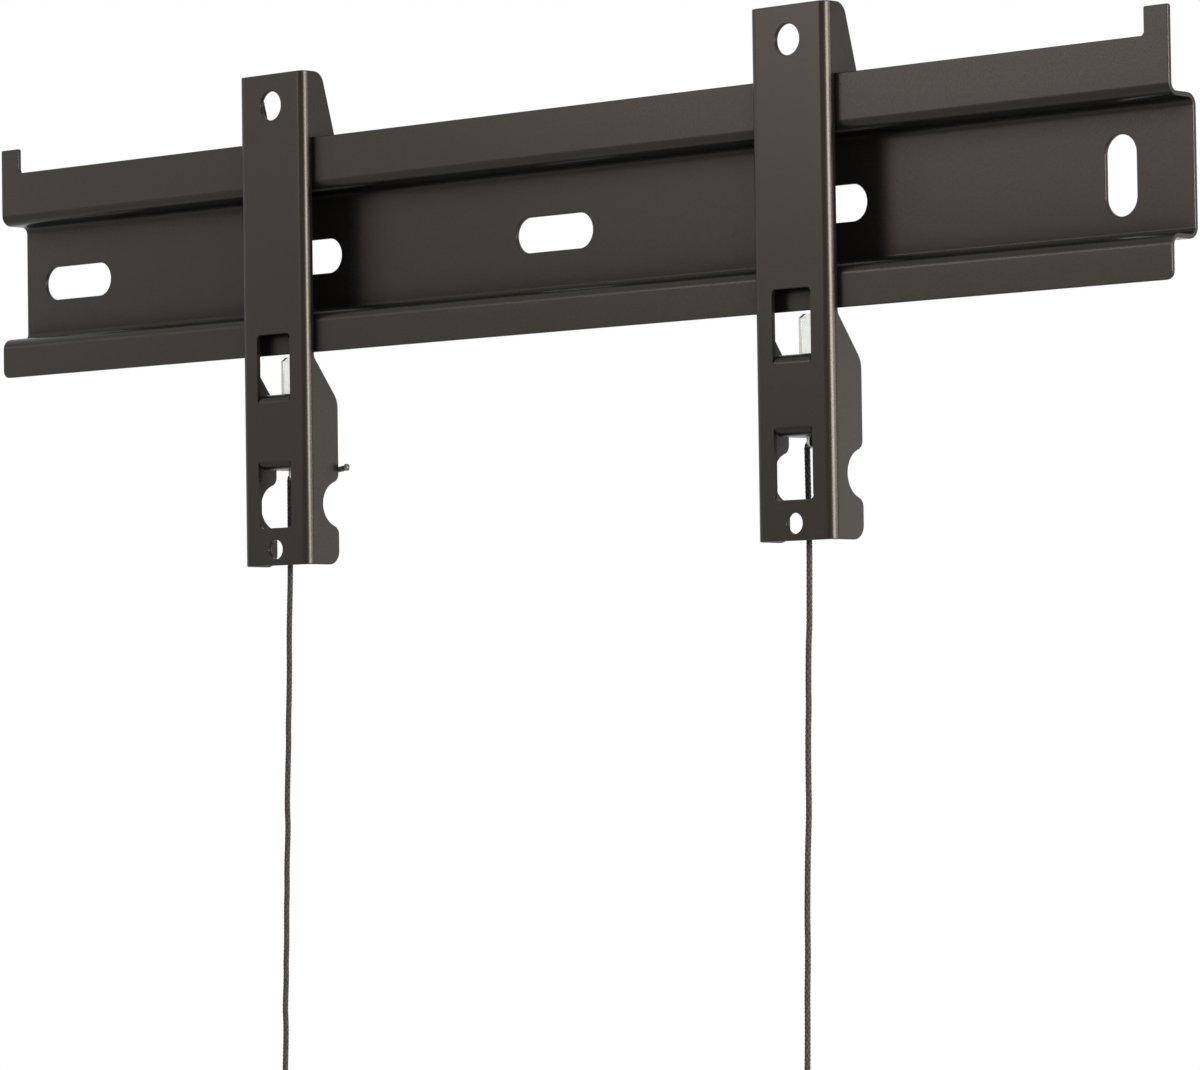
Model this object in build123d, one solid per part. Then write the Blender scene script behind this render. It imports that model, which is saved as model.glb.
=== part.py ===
"""Fixed tv wall bracket: a pressed rail, two hook-on arms, and a spring bolt with a pull cord in each.

Millimetres. x runs along the rail to the right as seen from the room, y runs into the wall and z is up.
The origin is the middle of the rail's back face, where the middle screw slot is.
On an arm, "depth" is counted back from its front face and "drop" is counted down from its top edge.
"""

import os

from build123d import *

# Wall rail
rail_length = 689.0
rail_sheet = 2.0
rail_depth = 17.5
rail_top = 52.0
rail_bottom = -44.5
upper_step = 27.7
lower_step = -26.0
rail_bend = 5.0
tab_width = 12.0
tab_rise = 11.5
tab_corner = 0.8
tab_root = 2.0
flange_corner = 3.5

# Screw slots in the rail
end_slot_inset = 36.0
slot_width = 15.5
lying_slot_length = 45.5
standing_slot_length = 32.7

# Arm sheet and outline
arm_places = {"left": -154.6, "right": 153.0}
arm_sheet = 2.0
arm_width = 42.0
arm_depth = 19.8
arm_bend = 4.0
arm_rise = 30.0
strip_depth = 5.3
top_depth = 11.95
top_corner = 6.0
shoulder_drop = 28.0
shoulder_corner = 8.0
strip_end_drop = 128.6
strip_end_corner = 4.0
wide_drop = 147.8
wide_corner = 10.0
foot_corner = 6.0
side_notch_radius = 10.4
side_notch_depth = 20.4
side_notch_drop = 194.4
side_notch_corner = 4.0

# Hook over the rail's upper flange
rail_clearance = 0.25
hook_clearance = 0.3
hook_seat_clearance = 0.1
hook_drop = 12.0
hook_corner = 5.0
hook_lead = 1.0

# Screw holes for the screen
top_hole = 13.1
top_hole_drop = 14.4
foot_hole = 8.7
foot_hole_rise = 7.2
screen_hole_spacing = 200.0

# Windows and the two shelves folded back out of them
window_width = 21.0
window_corner = 2.0
middle_window_top = 117.6
lower_window_bottom = 204.7
shelf_width = 19.4
shelf_depth = 17.6
shelf_corner = 2.5
shelf_root = 1.0
upper_shelf_drop = 144.5
lower_shelf_drop = 178.3

# Spring bolt
bolt_thickness = 1.6
bolt_front_depth = 5.6
bolt_width = 10.0
bolt_gap_below_rail = 1.1
bolt_chamfer_depth = 2.8
bolt_chamfer_height = 1.9
bolt_corner = 1.0
bolt_tail_depth = 12.0
bolt_tail_width = 3.0
bolt_lug_width = 5.2
bolt_below_shelf = 4.9
bolt_clearance = 0.3
eye_hole = 2.8
eye_below_shelf = 2.3

# Cross pin and spring
pin_diameter = 2.0
pin_length = 8.4
pin_shelf_clearance = 0.1
spring_wire = 0.8
spring_mean = 6.8
spring_turns = 6
spring_steps = 14
spring_clearance = 0.05

# Pull cord, its knots and the left one's tail
cord_diameter = 2.2
cord_turn_radius = 1.7
turn_steps = 4
cord_sides = 12
knot_length = 4.6
knot_diameter = 4.6
knot_gap = 0.05
end_knot_length = 6.0
end_knot_diameter = 5.4
end_tail_length = 6.0
tail_straight = 3.55
tail_bend = 4.0
tail_clearance = 0.15
tail_turn_inset = 2.8
tail_turn_lift = 1.4
tail_reach = 2.2
tail_lift = 2.4
tail_spread = 0.3
melted_end = 2.8

# Sizes that follow
slot_pitch = (rail_length - 2 * end_slot_inset) / 4
arm_height = top_hole_drop + screen_hole_spacing + foot_hole_rise
arm_front = -(rail_depth + rail_clearance + strip_depth)
arm_top = rail_top + arm_rise
lip_front = strip_depth + rail_clearance + rail_sheet + hook_clearance
shelf_under = {"upper": arm_top - upper_shelf_drop - arm_sheet, "lower": arm_top - lower_shelf_drop}
bolt_top = rail_bottom - bolt_gap_below_rail
pin_height = shelf_under["upper"] - pin_shelf_clearance - pin_diameter / 2
spring_top = pin_height - pin_diameter / 2 - spring_clearance
spring_bottom = shelf_under["lower"] + arm_sheet + spring_clearance
eye_height = shelf_under["lower"] - eye_below_shelf
bolt_y = arm_front + bolt_tail_depth
knot_start = bolt_thickness / 2 + knot_gap


def folded_sheet(points, radii, thickness):
    """Face of a folded sheet: the path of one skin, thickened to the left of its direction."""
    skin = FilletPolyline(*points, radius=radii)
    return make_face(offset(skin.wires()[0], amount=thickness, side=Side.LEFT).edges())


def both_ways(plane, face, width):
    """Extrudes a face that is drawn on the plane to the given width about it."""
    return extrude(plane * face, amount=width / 2, both=True)


def make_rail():
    """Hat-section rail with its end tabs and screw slots."""
    front = -rail_depth
    web = -rail_sheet
    inner = rail_bend - rail_sheet
    upper = [(front, rail_top), (front, upper_step), (web, upper_step)]
    lower = [(web, lower_step), (front, lower_step), (front, rail_bottom)]
    section = folded_sheet(upper + lower, [rail_bend, inner, inner, rail_bend], rail_sheet)
    rail = both_ways(Plane.YZ, section, rail_length)

    flange_middle = front + rail_sheet / 2
    for side in (-1, 1):
        end = side * rail_length / 2
        inside = end - side * tab_width
        tab_top = rail_top + tab_rise
        outline = [(end, rail_top - 1), (end, tab_top), (inside, tab_top), (inside, rail_top)]
        outline += [(inside - side * tab_root, rail_top), (inside - side * tab_root, rail_top - 1)]
        corners = [0, tab_corner, tab_corner, tab_root * 0.9, 0, 0]
        tab = make_face(FilletPolyline(*outline, radius=corners, close=True))
        rail += both_ways(Plane.XZ.offset(-flange_middle), tab, rail_sheet)

    low = [e for e in rail.edges().filter_by(Axis.Y) if abs(e.center().Z - rail_bottom) < 0.01]
    rail = fillet(low, flange_corner)

    for place in (-2, -1, 0, 1, 2):
        length = standing_slot_length if place == 2 else lying_slot_length
        turn = 90 if place == 2 else 0
        slot = Pos(place * slot_pitch, 0) * SlotOverall(length, slot_width, rotation=turn)
        rail -= both_ways(Plane.XZ, slot, rail_depth)
    return rail


def side_outline():
    """Outline of an arm's side flange, drawn in y and z."""
    corners = [
        (-1, 0, 0),
        (top_depth, 0, top_corner),
        (arm_depth, shoulder_drop, shoulder_corner),
        (arm_depth, arm_rise + hook_drop, hook_corner),
        (lip_front, arm_rise + hook_drop, hook_lead),
        (lip_front, arm_rise - hook_seat_clearance, 0),
        (strip_depth, arm_rise - hook_seat_clearance, 0),
        (strip_depth, strip_end_drop, strip_end_corner),
        (arm_depth, wide_drop, wide_corner),
        (arm_depth, arm_height, foot_corner),
        (-1, arm_height, 0),
    ]
    points = [(arm_front + depth, arm_top - drop) for depth, drop, _ in corners]
    outline = make_face(FilletPolyline(*points, radius=[r for _, _, r in corners], close=True))
    outline -= Pos(arm_front + side_notch_depth, arm_top - side_notch_drop) * Circle(side_notch_radius)
    rear = arm_front + arm_depth
    notch_height = arm_top - side_notch_drop
    on_rear = [v for v in outline.vertices() if abs(v.X - rear) < 0.01]
    entry = [v for v in on_rear if abs(v.Y - notch_height) < side_notch_radius]
    return fillet(entry, side_notch_corner)


def make_shelf(drop, upright):
    """Tab folded back out of a window: its root is above it, or below it where the tab stands upright."""
    back = arm_front + shelf_depth
    skin = [(arm_front, arm_bend + shelf_root), (arm_front, 0), (back, 0)]
    shelf = both_ways(Plane.YZ, folded_sheet(skin, [arm_bend], arm_sheet), shelf_width)
    ends = [e for e in shelf.edges().filter_by(Axis.Z) if abs(e.center().Y - back) < 0.01]
    shelf = fillet(ends, shelf_corner)
    if upright:
        shelf = mirror(shelf, about=Plane.XY)
    return Pos(0, 0, arm_top - drop) * shelf


def make_arm():
    """Folded channel arm, centred on x = 0."""
    half = arm_width / 2
    rear = arm_front + arm_depth
    skin = [(-half, rear), (-half, arm_front), (half, arm_front), (half, rear)]
    channel = Pos(0, 0, arm_top - arm_height) * extrude(
        folded_sheet(skin, [arm_bend, arm_bend], arm_sheet), amount=arm_height
    )
    arm = channel & both_ways(Plane.YZ, side_outline(), 2 * arm_width)

    plate = Plane.XZ.offset(-arm_front - arm_sheet / 2)
    cut = 2 * arm_sheet
    for drop, size in ((top_hole_drop, top_hole), (top_hole_drop + screen_hole_spacing, foot_hole)):
        arm -= both_ways(plate, Pos(0, arm_top - drop) * Circle(size / 2), cut)

    upper_root = upper_shelf_drop + arm_bend
    lower_root = lower_shelf_drop - arm_bend
    for first, last in ((middle_window_top, upper_root), (lower_root, lower_window_bottom)):
        window = RectangleRounded(window_width, last - first, window_corner)
        arm -= both_ways(plate, Pos(0, arm_top - (first + last) / 2) * window, cut)

    arm += make_shelf(upper_shelf_drop, upright=True)
    arm += make_shelf(lower_shelf_drop, upright=False)

    slot_front = arm_front + bolt_front_depth - bolt_clearance
    upper_slot = Box(
        bolt_thickness + 2 * bolt_clearance,
        bolt_width + 2 * bolt_clearance,
        3 * arm_sheet,
        align=(Align.CENTER, Align.MIN, Align.CENTER),
    )
    lower_slot = Box(
        bolt_thickness + 2 * bolt_clearance, bolt_lug_width + 2 * bolt_clearance, 3 * arm_sheet
    )
    arm -= Pos(0, slot_front, shelf_under["upper"] + arm_sheet / 2) * upper_slot
    arm -= Pos(0, bolt_y, shelf_under["lower"] + arm_sheet / 2) * lower_slot
    return arm


def make_bolt():
    """Stamped flat bolt: sloped finger, shoulders under the pin, narrow tail and a lug with the eye."""
    front = arm_front + bolt_front_depth
    back = front + bolt_width
    shoulder = pin_height - pin_diameter / 2
    foot = shelf_under["lower"] - bolt_below_shelf
    lug_top = shelf_under["lower"] + arm_sheet
    tail = bolt_tail_width / 2
    lug = bolt_lug_width / 2
    outline = [
        (front, shoulder, 0),
        (front, bolt_top - bolt_chamfer_height, 0.3),
        (front + bolt_chamfer_depth, bolt_top, 0.3),
        (back, bolt_top, bolt_corner),
        (back, shoulder, 0),
        (bolt_y + tail, shoulder, 0.5),
        (bolt_y + tail, lug_top, 0.5),
        (bolt_y + lug, lug_top, 0.5),
        (bolt_y + lug, foot, 2.0),
        (bolt_y - lug, foot, 2.0),
        (bolt_y - lug, lug_top, 0.5),
        (bolt_y - tail, lug_top, 0.5),
        (bolt_y - tail, shoulder, 0.5),
    ]
    points = [(y, z) for y, z, _ in outline]
    face = make_face(FilletPolyline(*points, radius=[r for _, _, r in outline], close=True))
    face -= Pos(bolt_y, eye_height) * Circle(eye_hole / 2)
    face -= Pos(bolt_y, pin_height) * Circle(pin_diameter / 2)
    return both_ways(Plane.YZ, face, bolt_thickness)


def make_pin():
    """Cross pin through the bolt, under the upper shelf."""
    return Pos(0, bolt_y, pin_height) * Rot(0, 90, 0) * Cylinder(pin_diameter / 2, pin_length)


def tube(stops, radius, sides, across):
    """Many-sided tube through the stops; across is a direction that the route never follows."""
    runs = [(end - start).normalized() for start, end in zip(stops, stops[1:])]
    heads = [runs[0], *[(first + second).normalized() for first, second in zip(runs, runs[1:])], runs[-1]]
    ring = RegularPolygon(radius, sides)
    rings = [Plane(origin=stop, x_dir=across, z_dir=head) * ring for stop, head in zip(stops, heads)]
    return loft(rings, ruled=True)


def make_spring():
    """Pressure spring round the bolt's tail, from the lower shelf to the pin, in short steps."""
    wire = spring_wire / 2
    height = spring_top - spring_bottom - spring_wire
    coil = Helix(height / spring_turns, height, spring_mean / 2)
    steps = spring_turns * spring_steps
    stops = [coil @ (i / steps) for i in range(steps + 1)]
    return Pos(0, bolt_y, spring_bottom + wire) * tube(stops, wire, 6, (0, 0, 1))


def barrel(length, diameter, ends):
    """Barrel-shaped knot along z, from z = 0 up, with flat ends for the cord to meet."""
    widest = diameter / 2
    half = [(ends, 0), (0.88 * widest, 0.16 * length), (widest, 0.36 * length)]
    levels = half + [(radius, length - height) for radius, height in reversed(half)]
    rings = [Pos(0, 0, height) * RegularPolygon(radius, cord_sides) for radius, height in levels]
    return loft(rings, ruled=True)


def make_eye_knot():
    """Stopper knot on the right of the bolt's eye."""
    knot = barrel(knot_length, knot_diameter, cord_diameter / 2)
    return Pos(knot_start, bolt_y, eye_height) * Rot(0, 90, 0) * knot


def cord_tube(points, radii, across):
    """Cord along straight runs that meet in the given radii, each turn in a few short steps."""
    stops = [Vector(*points[0])]
    for edge in FilletPolyline(*points, radius=radii).edges():
        steps = turn_steps if edge.geom_type == GeomType.CIRCLE else 1
        stops += [edge @ (i / steps) for i in range(1, steps + 1)]
    return tube(stops, cord_diameter / 2, cord_sides, across)


def make_cord(hang):
    """Pull cord from the knot through the eye and down, along its hanging points."""
    side = hang[0][0]
    points = [(knot_start, bolt_y, eye_height), (side, bolt_y, eye_height), *hang]
    return cord_tube(points, [cord_turn_radius] + [0] * (len(hang) - 1), (0, 1, 0))


def make_end_knot(hang):
    """Knot below the last hanging point, with a short tail under it."""
    radius = cord_diameter / 2
    knot = barrel(end_knot_length, end_knot_diameter, radius)
    ring = RegularPolygon(radius, cord_sides)
    knot += Pos(0, 0, -end_tail_length) * extrude(ring, amount=end_tail_length)
    x, y, z = hang[-1]
    return Pos(x, y, z - end_knot_length) * knot


def make_tail():
    """Left cord's short tail: from the knot past the back of the right flange to its melted end."""
    start = knot_start + knot_length
    side = arm_width / 2
    behind = arm_front + arm_depth + cord_diameter / 2 + tail_clearance
    points = [
        (start, bolt_y, eye_height),
        (start + tail_straight, bolt_y, eye_height),
        (side - tail_turn_inset, behind, eye_height + tail_turn_lift),
        (side + tail_reach, behind + tail_spread, eye_height + tail_lift),
    ]
    tail = cord_tube(points, [tail_bend, tail_bend], (0, 0, 1))
    run = Vector(*points[-1]) - Vector(*points[-2])
    return tail + Plane(origin=points[-1], z_dir=run) * barrel(melted_end, melted_end, cord_diameter / 2)


# Hanging points of the two cords, from the turn at the eye down, measured from the arm's middle
hanging = {
    "left": [
        (-2.6, bolt_y, -104.0),
        (-2.75, -11.2, -140.0),
        (-3.6, -12.0, -190.0),
        (-4.45, -12.95, -240.0),
        (-5.3, -13.7, -292.0),
        (-5.95, -14.4, -340.0),
        (-6.4, -14.9, -370.0),
        (-6.4, -14.9, -376.0),
    ],
    "right": [
        (-2.6, bolt_y, -104.0),
        (-2.5, -10.95, -138.0),
        (-3.15, -11.55, -190.0),
        (-3.85, -12.3, -242.0),
        (-4.6, -13.05, -292.0),
        (-5.25, -13.75, -342.0),
        (-5.6, -14.1, -370.0),
        (-5.6, -14.1, -376.0),
    ],
}

nodes = {"wall_rail": make_rail()}
arm_shape = make_arm()
bolt_shape = make_bolt()
pin_shape = make_pin()
spring_shape = make_spring()
eye_knot_shape = make_eye_knot()
for hand, middle in arm_places.items():
    place = Pos(middle, 0, 0)
    nodes[f"{hand}_arm"] = place * arm_shape
    nodes[f"{hand}_latch_bolt"] = place * bolt_shape
    nodes[f"{hand}_spring_pin"] = place * pin_shape
    nodes[f"{hand}_latch_spring"] = place * spring_shape
    nodes[f"{hand}_cord_knot"] = place * eye_knot_shape
    nodes[f"{hand}_pull_cord"] = place * make_cord(hanging[hand])
    nodes[f"{hand}_end_knot"] = place * make_end_knot(hanging[hand])
nodes["left_cord_tail"] = Pos(arm_places["left"], 0, 0) * make_tail()

os.makedirs("parts", exist_ok=True)
for name, shape in nodes.items():
    shape.label = name
    export_step(shape, f"parts/{name}.step")
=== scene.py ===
"""Fixed tv wall bracket: a pressed rail, two hook-on arms, and a spring latch with a pull cord in each arm.

Metres, in the frame of the solids: x along the rail to the right, y into the wall, z up.
"""

import logging
import math
from collections.abc import Sequence
from dataclasses import dataclass, field
from enum import Enum

import bpy
import numpy as np
from mathutils import Matrix, Vector


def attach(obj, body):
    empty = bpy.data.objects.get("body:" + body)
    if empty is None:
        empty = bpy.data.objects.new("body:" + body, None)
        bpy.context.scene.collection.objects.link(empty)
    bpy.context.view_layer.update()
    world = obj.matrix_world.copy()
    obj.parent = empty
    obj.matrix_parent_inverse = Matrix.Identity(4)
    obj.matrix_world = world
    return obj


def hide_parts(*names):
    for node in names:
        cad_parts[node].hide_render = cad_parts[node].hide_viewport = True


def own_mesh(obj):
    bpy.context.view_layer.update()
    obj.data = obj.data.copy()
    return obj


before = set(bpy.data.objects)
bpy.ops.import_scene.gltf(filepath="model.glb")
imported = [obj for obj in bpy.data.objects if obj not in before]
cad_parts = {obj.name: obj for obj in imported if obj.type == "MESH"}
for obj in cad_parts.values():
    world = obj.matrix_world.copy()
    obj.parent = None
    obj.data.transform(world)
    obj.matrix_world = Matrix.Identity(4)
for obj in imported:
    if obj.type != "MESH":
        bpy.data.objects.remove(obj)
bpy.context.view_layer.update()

MM = 0.001
log = logging.getLogger("bracket")

Point = tuple[float, float, float]
Box = tuple[Point, Point]
Colour = tuple[float, float, float, float]

# Sockets of a colour Mix node, whose names are the same for every type of data
MIX_SHARE, MIX_FIRST, MIX_SECOND, MIX_RESULT = 0, 6, 7, 2
# Nearly all values of a Noise node lie between these
NOISE_LOW, NOISE_HIGH = 0.3, 0.7
# Smoothness of the splines that the cords follow
SPLINE_STEPS, SPLINE_ORDER = 24, 3
# A direction that no stretch of cord runs along
SLANT: Point = (0.31, 0.87, 0.39)


class Hand(Enum):
    """The two arms, each with the place of its middle along the rail."""

    LEFT = ("left", -154.6 * MM)
    RIGHT = ("right", 153.0 * MM)

    @property
    def label(self) -> str:
        """Word that starts the names of this arm's pieces."""
        return self.value[0]

    @property
    def middle(self) -> float:
        """Place of the arm's middle along the rail."""
        return self.value[1]


class Slot(Enum):
    """The record's material slots."""

    COAT = "powder_coat"
    ZINC = "zinc_plate"
    SPRING = "spring_steel"
    CORD = "braided_cord"


# Helpers for nodes


def linear(hex_colour: str) -> Colour:
    """Turns an sRGB hex colour into the linear colour that a socket takes.

    Args:
        hex_colour: Six hex digits after a hash sign.

    Returns:
        Linear red, green and blue, and an alpha of one.
    """
    parts = [int(hex_colour[i:i + 2], 16) / 255 for i in (1, 3, 5)]
    flat = [c / 12.92 if c <= 0.04045 else ((c + 0.055) / 1.055) ** 2.4 for c in parts]
    return (flat[0], flat[1], flat[2], 1.0)


WHITE = linear("#ffffff")


def per_mm(size: float) -> float:
    """Texture scale on Object coordinates, in metres, for a feature of this many millimetres."""
    return 1.0 / (size * MM)


def fill_inputs(tree: bpy.types.NodeTree, node: bpy.types.Node, inputs: dict[str | int, object]) -> None:
    """Sets or links inputs of a node.

    Args:
        tree: Node tree that holds the node.
        node: Node to fill.
        inputs: Value or output socket for each input, by name or number.
    """
    for key, value in inputs.items():
        if isinstance(value, bpy.types.NodeSocket):
            tree.links.new(value, node.inputs[key])
        else:
            node.inputs[key].default_value = value


def add_node(
    tree: bpy.types.NodeTree, kind: str, inputs: dict[str | int, object] | None = None, **settings: object
) -> bpy.types.Node:
    """Adds a node, sets its options, and fills or links its inputs.

    Args:
        tree: Node tree that gets the node.
        kind: Type name of the node.
        inputs: Value or output socket for each input, by name or number.
        settings: Options of the node by name.

    Returns:
        The new node.
    """
    node = tree.nodes.new(kind)
    for name, value in settings.items():
        setattr(node, name, value)
    fill_inputs(tree, node, inputs or {})
    return node


# Helpers for pieces


def inside(point: Vector, box: Box) -> bool:
    """Whether a point lies in a box."""
    return all(low <= value <= high for value, low, high in zip(point, *box))


def add_object(name: str, data: bpy.types.ID) -> bpy.types.Object:
    """Adds an object to the scene.

    Args:
        name: Name of the object.
        data: Mesh, curve, light or camera that it carries.

    Returns:
        The new object.
    """
    made = bpy.data.objects.new(name, data)
    bpy.context.scene.collection.objects.link(made)
    return made


def activate(piece: bpy.types.Object) -> None:
    """Makes a piece the only selected object and the active one.

    Args:
        piece: Piece to work on next.
    """
    bpy.ops.object.select_all(action="DESELECT")
    piece.select_set(True)
    bpy.context.view_layer.objects.active = piece


def edit_whole() -> None:
    """Opens the active piece in edit mode with all of it selected."""
    bpy.ops.object.mode_set(mode="EDIT")
    bpy.ops.mesh.select_all(action="SELECT")


def apply_modifier(piece: bpy.types.Object, kind: str, **settings: object) -> None:
    """Adds a modifier to the active piece and applies it.

    Args:
        piece: Piece that is active.
        kind: Type name of the modifier.
        settings: Options of the modifier.
    """
    modifier = piece.modifiers.new(kind.title(), kind)
    for name, value in settings.items():
        setattr(modifier, name, value)
    bpy.ops.object.modifier_apply(modifier=modifier.name)


def dress(piece: bpy.types.Object, material: bpy.types.Material) -> None:
    """Gives a piece its only material.

    Args:
        piece: Finished piece.
        material: Its material.
    """
    piece.data.materials.clear()
    piece.data.materials.append(material)


# Finishes, with the sizes of their patterns and reliefs in millimetres


@dataclass(frozen=True)
class Finish:
    """A real material with a procedural surface."""

    name: str

    def start(self) -> tuple[bpy.types.Material, bpy.types.NodeTree, bpy.types.Node]:
        """Makes the empty material.

        Returns:
            The material, its node tree and its shader.
        """
        material = bpy.data.materials.new(self.name)
        material.use_nodes = True
        tree = material.node_tree
        return material, tree, tree.nodes["Principled BSDF"]


@dataclass(frozen=True)
class PowderCoatedSteel(Finish):
    """Satin polyester powder coat, baked on pressed steel."""

    # To the eye it is a warm near-black, whose lighter tones are all soft reflections. Fine orange peel from
    # the flow of the melting powder breaks them up. Tight corners get painted shade: an ambient occlusion
    # node lowers how much the coat mirrors there.
    name: str = "powder_coated_steel"
    dark: str = "#0b0a08"
    light: str = "#100e0c"
    mirror_tint: str = "#ffeddc"
    # Clear polyester has about 1.57, and the matted coat mirrors less than that
    ior: float = 1.352
    cloud: float = 70.0
    cloud_detail: float = 3.0
    peel: float = 1.6
    peel_detail: float = 2.0
    peel_strength: float = 0.12
    peel_depth: float = 0.05
    # Real powder grains are finer, and are drawn at this size so that they show
    grit: float = 0.32
    grit_detail: float = 1.0
    grit_strength: float = 0.1
    grit_depth: float = 0.01
    smoothest: float = 0.26
    roughest: float = 0.34
    # Painted shade: ambient occlusion within this reach lowers the mirror level, so that corners go dark
    painted_shade_reach: float = 42.0
    painted_shade_samples: int = 8
    full_painted_shade_at: float = 0.35
    no_painted_shade_at: float = 0.9
    painted_shade_mirror: float = 0.0357
    open_mirror: float = 0.5

    def build(self) -> bpy.types.Material:
        """Builds the material.

        Returns:
            The coat.
        """
        material, tree, shader = self.start()
        place = add_node(tree, "ShaderNodeTexCoord").outputs["Object"]
        cloud = add_node(tree, "ShaderNodeTexNoise", {
            "Vector": place, "Scale": per_mm(self.cloud), "Detail": self.cloud_detail,
        })
        peel = add_node(tree, "ShaderNodeTexNoise", {
            "Vector": place, "Scale": per_mm(self.peel), "Detail": self.peel_detail,
        })
        grit = add_node(tree, "ShaderNodeTexNoise", {
            "Vector": place, "Scale": per_mm(self.grit), "Detail": self.grit_detail,
        })
        tone = add_node(tree, "ShaderNodeMix", {
            MIX_SHARE: cloud.outputs["Fac"], MIX_FIRST: linear(self.dark), MIX_SECOND: linear(self.light),
        }, data_type="RGBA")
        gloss = add_node(tree, "ShaderNodeMapRange", {
            "Value": grit.outputs["Fac"], "From Min": NOISE_LOW, "From Max": NOISE_HIGH,
            "To Min": self.smoothest, "To Max": self.roughest,
        })
        waves = add_node(tree, "ShaderNodeBump", {
            "Strength": self.peel_strength, "Distance": self.peel_depth * MM, "Height": peel.outputs["Fac"],
        })
        grains = add_node(tree, "ShaderNodeBump", {
            "Strength": self.grit_strength, "Distance": self.grit_depth * MM, "Height": grit.outputs["Fac"],
            "Normal": waves.outputs["Normal"],
        })
        # Painted shade: where ambient occlusion finds tight corners, the specular level is lowered
        corners = add_node(tree, "ShaderNodeAmbientOcclusion", {
            "Distance": self.painted_shade_reach * MM,
        }, samples=self.painted_shade_samples)
        mirror = add_node(tree, "ShaderNodeMapRange", {
            "Value": corners.outputs["AO"], "From Min": self.full_painted_shade_at, "From Max": self.no_painted_shade_at,
            "To Min": self.painted_shade_mirror, "To Max": self.open_mirror,
        })
        fill_inputs(tree, shader, {
            "Base Color": tone.outputs[MIX_RESULT], "Roughness": gloss.outputs["Result"],
            "Normal": grains.outputs["Normal"], "Specular IOR Level": mirror.outputs["Result"],
            "Specular Tint": linear(self.mirror_tint), "IOR": self.ior,
        })
        return material


@dataclass(frozen=True)
class ZincPlatedSteel(Finish):
    """Bright zinc plate, clear passivated, on rolled strip."""

    # To the eye it is a bright silver metal with a faint straw bloom. The strip's rolling lines blur what it
    # mirrors, more across them than along them.
    name: str = "zinc_plated_steel"
    silver: str = "#a4a8a8"
    straw: str = "#a3a197"
    roll_width: float = 0.25
    roll_length: float = 9.0
    roll_detail: float = 2.0
    roll_strength: float = 0.2
    roll_depth: float = 0.02
    bloom: float = 5.0
    bloom_detail: float = 3.0
    smoothest: float = 0.2
    roughest: float = 0.36

    def build(self) -> bpy.types.Material:
        """Builds the material.

        Returns:
            The plated metal.
        """
        material, tree, shader = self.start()
        place = add_node(tree, "ShaderNodeTexCoord").outputs["Object"]
        across, along = per_mm(self.roll_width), per_mm(self.roll_length)
        strip = add_node(tree, "ShaderNodeMapping", {"Vector": place, "Scale": (across, across, along)})
        lines = add_node(tree, "ShaderNodeTexNoise", {
            "Vector": strip.outputs["Vector"], "Scale": 1.0, "Detail": self.roll_detail,
        })
        bloom = add_node(tree, "ShaderNodeTexNoise", {
            "Vector": place, "Scale": per_mm(self.bloom), "Detail": self.bloom_detail,
        })
        tone = add_node(tree, "ShaderNodeMix", {
            MIX_SHARE: bloom.outputs["Fac"], MIX_FIRST: linear(self.silver), MIX_SECOND: linear(self.straw),
        }, data_type="RGBA")
        gloss = add_node(tree, "ShaderNodeMapRange", {
            "Value": lines.outputs["Fac"], "From Min": NOISE_LOW, "From Max": NOISE_HIGH,
            "To Min": self.smoothest, "To Max": self.roughest,
        })
        relief = add_node(tree, "ShaderNodeBump", {
            "Strength": self.roll_strength, "Distance": self.roll_depth * MM, "Height": lines.outputs["Fac"],
        })
        fill_inputs(tree, shader, {
            "Base Color": tone.outputs[MIX_RESULT], "Roughness": gloss.outputs["Result"],
            "Normal": relief.outputs["Normal"], "Metallic": 1.0,
        })
        return material


@dataclass(frozen=True)
class DrawnSpringWire(Finish):
    """Spring wire, hard drawn through dies and lightly oiled."""

    # To the eye it is a smooth mid-grey metal with darker and duller patches, where the oil has stayed
    name: str = "drawn_spring_wire"
    grey: str = "#8d9092"
    dark: str = "#5f6061"
    patch: float = 1.5
    patch_detail: float = 4.0
    smoothest: float = 0.24
    roughest: float = 0.4

    def build(self) -> bpy.types.Material:
        """Builds the material.

        Returns:
            The wire's metal.
        """
        material, tree, shader = self.start()
        place = add_node(tree, "ShaderNodeTexCoord").outputs["Object"]
        patch = add_node(tree, "ShaderNodeTexNoise", {
            "Vector": place, "Scale": per_mm(self.patch), "Detail": self.patch_detail,
        })
        tone = add_node(tree, "ShaderNodeMix", {
            MIX_SHARE: patch.outputs["Fac"], MIX_FIRST: linear(self.grey), MIX_SECOND: linear(self.dark),
        }, data_type="RGBA")
        gloss = add_node(tree, "ShaderNodeMapRange", {
            "Value": patch.outputs["Fac"], "From Min": NOISE_LOW, "From Max": NOISE_HIGH,
            "To Min": self.smoothest, "To Max": self.roughest,
        })
        fill_inputs(tree, shader, {
            "Base Color": tone.outputs[MIX_RESULT], "Roughness": gloss.outputs["Result"], "Metallic": 1.0,
        })
        return material


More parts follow.
